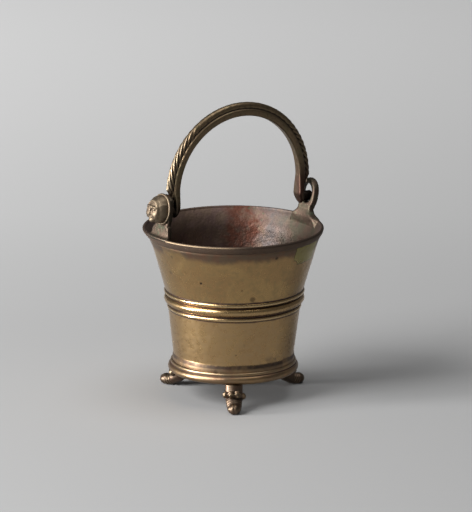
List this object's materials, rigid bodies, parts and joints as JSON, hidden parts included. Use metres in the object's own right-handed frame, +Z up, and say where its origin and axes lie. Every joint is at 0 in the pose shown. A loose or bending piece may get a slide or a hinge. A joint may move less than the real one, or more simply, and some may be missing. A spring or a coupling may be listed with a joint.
{
  "type": "holy water bucket",
  "caption": "Small cast brass holy water bucket on paw feet, with ring ears, a face mask and a rope-edged bail that swings over the rim.",
  "frame": {"origin": "on the floor under the feet, below the middle of the whole bucket, which is 0.7 mm to the left of the vessel's axis", "axes": "+Z up; +X from the left ear to the right ear; -Y is the side that the front foot stands nearer to"},
  "size_m": [0.1088, 0.1, 0.1651],
  "materials": {
    "vessel_brass": "satin old brass with brown patina under the lip and in the grooves",
    "foot_brass": "dark brown patina, rubbed bright on the toes and knuckles",
    "ear_brass": "dull brown and greenish grey patina",
    "mask_brass": "rubbed brass on the high places, dark in the hollows",
    "bail_brass": "olive brown patina with worn bright strands"
  },
  "bodies": {
    "bucket": {"vessel": "vessel_brass", "foot_right": "foot_brass", "foot_left": "foot_brass", "foot_front": "foot_brass", "ear_right": "ear_brass", "ear_left": "ear_brass", "mask_left": "mask_brass"},
    "bail": {"bail": "bail_brass"}
  },
  "joints": [
    {"name": "bail_swing", "type": "hinge", "parent": "bucket", "child": "bail", "pos_m": [0.00363, 0, 0.10785], "axis": [0.9996, 0, -0.0279], "range_deg": [-102.8, 98.2]}
  ]
}
